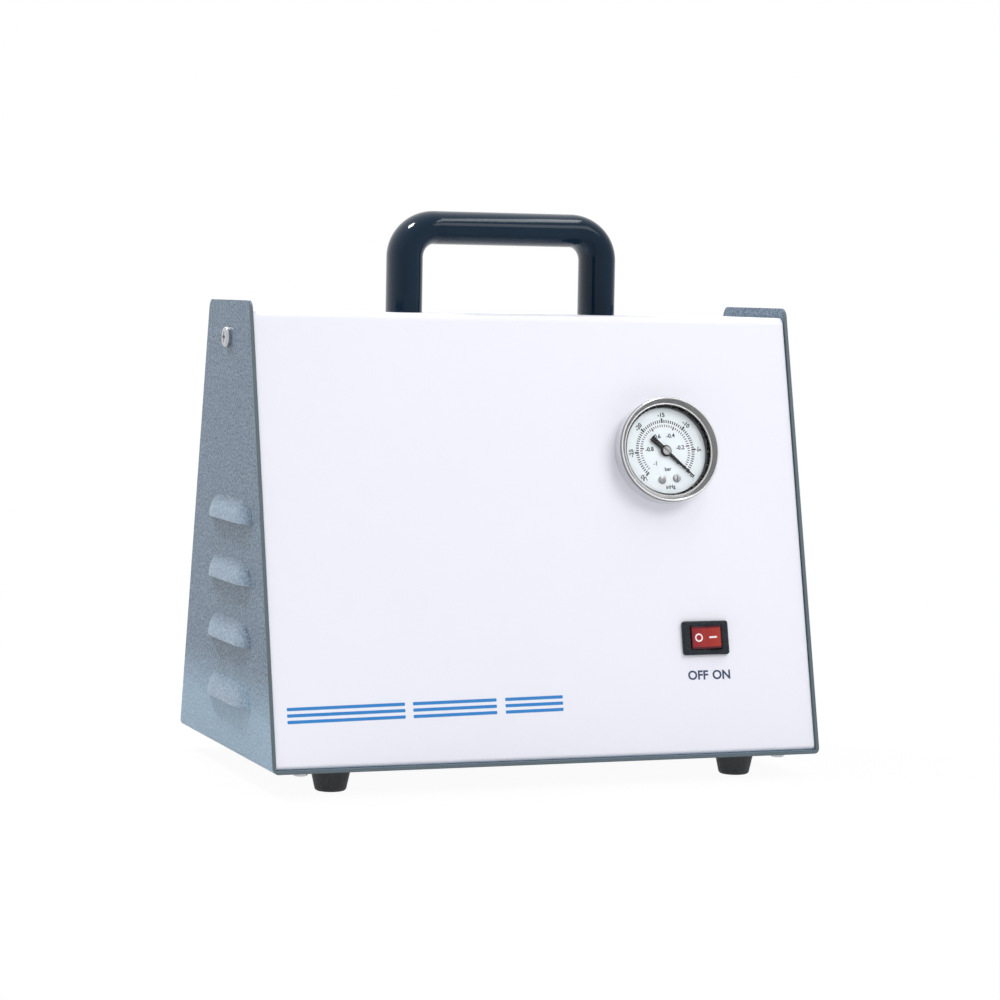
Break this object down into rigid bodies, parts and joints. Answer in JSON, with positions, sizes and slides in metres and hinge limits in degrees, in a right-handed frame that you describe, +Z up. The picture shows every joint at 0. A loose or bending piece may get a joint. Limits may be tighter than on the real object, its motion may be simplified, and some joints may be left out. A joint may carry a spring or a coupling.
{
  "type": "diaphragm vacuum pump",
  "caption": "Portable diaphragm vacuum pump in a leaning sheet-metal case with a dial vacuum gauge, rocker switch, bridge handle and rear hose nozzles.",
  "frame": {"origin": "on the table under the middle of the case, at the undersides of the feet", "axes": "+X to the right seen from the front, +Y to the rear, +Z up; the front panel faces -Y"},
  "size_m": [0.2624, 0.156, 0.2513],
  "materials": {
    "black_gloss_plastic": "gloss",
    "black_plastic": "matte",
    "black_rubber": "matte",
    "blue_grey_paint": "hammered",
    "brass": "satin",
    "bright_screws": "polished",
    "cast_aluminium": "cast",
    "clear_glass": "polished",
    "copper_wire": "enamelled",
    "dial_white": "satin",
    "grey_plastic": "matte",
    "lamination_steel": "varnished",
    "pointer_black": "satin",
    "silicone_hose": "translucent",
    "stainless": "brushed",
    "steel": "ground",
    "switch_black": "gloss",
    "switch_red": "gloss",
    "tinned_brass": "satin",
    "white_paint": "satin",
    "zinc_sheet": "zinc"
  },
  "bodies": {
    "housing": {"base_screws": "bright_screws", "bottom_screws": "steel", "bourdon_tube_and_stem": "brass", "capacitor_clip": "zinc_sheet", "chassis": "blue_grey_paint", "cover": "white_paint", "crank_cover": "cast_aluminium", "crank_housing": "cast_aluminium", "dial_screws": "bright_screws", "diaphragm": "black_rubber", "exhaust_elbow": "brass", "front_bell": "cast_aluminium", "gauge_bezel": "stainless", "gauge_case": "black_plastic", "gauge_clamp": "zinc_sheet", "gauge_dial": "dial_white", "gauge_glass": "clear_glass", "gauge_hose": "silicone_hose", "gauge_movement": "brass", "gauge_spacer": "black_rubber", "handle": "black_gloss_plastic", "handle_screws": "steel", "head_cover": "cast_aluminium", "head_gasket": "black_rubber", "head_screws": "steel", "hose_nozzles": "brass", "inlet_body": "black_plastic", "inlet_pins": "tinned_brass", "intake_tee": "brass", "isolators": "black_rubber", "line_hoses": "silicone_hose", "lock_nuts": "steel", "motor_bearings": "steel", "motor_cradle": "zinc_sheet", "motor_stator": "lamination_steel", "motor_windings": "copper_wire", "nozzle_nuts": "brass", "rear_bell": "cast_aluminium", "rubber_feet": "black_rubber", "run_capacitor": "grey_plastic", "side_screws": "bright_screws", "switch_housing": "switch_black", "switch_terminals": "tinned_brass", "tie_screws": "steel", "umbrella_valves": "silicone_hose", "valve_plate": "cast_aluminium", "wiring": "black_plastic"},
    "rocker": {"rocker": "switch_red"},
    "pointer": {"gauge_pointer": "pointer_black", "pointer_spindle": "stainless"},
    "sector": {"gauge_sector": "brass"},
    "crankshaft": {"motor_shaft": "steel", "motor_rotor": "lamination_steel", "cooling_fan": "grey_plastic", "eccentric": "steel"},
    "rod": {"connecting_rod": "cast_aluminium", "rod_bearing": "steel", "diaphragm_clamp": "steel"},
    "fuse_drawer": {"fuse_drawer": "black_plastic", "fuse": "clear_glass"}
  },
  "joints": [
    {"name": "rocker_tilt", "type": "hinge", "parent": "housing", "child": "rocker", "pos_m": [0.0755, -0.0651, 0.06293], "axis": [0, 0.2229, 0.9748], "range_deg": [0, 22]},
    {"name": "pointer_turn", "type": "hinge", "parent": "housing", "child": "pointer", "pos_m": [0.0618, -0.04631, 0.14511], "axis": [0, -0.9748, 0.2229], "range_deg": [0, 270], "stiffness_Nm_per_rad": 0.00001},
    {"name": "sector_turn", "type": "hinge", "parent": "housing", "child": "sector", "pos_m": [0.06258, -0.04831, 0.13637], "axis": [0, -0.9748, 0.2229], "range_deg": [-34, 0.2]},
    {"name": "crank_turn", "type": "hinge", "parent": "housing", "child": "crankshaft", "pos_m": [-0.082, 0, 0.068], "axis": [1, 0, 0], "continuous": true},
    {"name": "rod_turn", "type": "hinge", "parent": "crankshaft", "child": "rod", "pos_m": [-0.082, 0, 0.071], "axis": [1, 0, 0], "continuous": true, "deforming": ["diaphragm"]},
    {"name": "drawer_slide", "type": "slide", "parent": "housing", "child": "fuse_drawer", "axis": [0, 0.9748, 0.2229], "range_m": [0, 0.018]}
  ],
  "couplings": [
    {"joint": "sector_turn", "follows": "pointer_turn", "ratio": -0.125},
    {"joint": "rod_turn", "follows": "crank_turn", "ratio": -1}
  ]
}
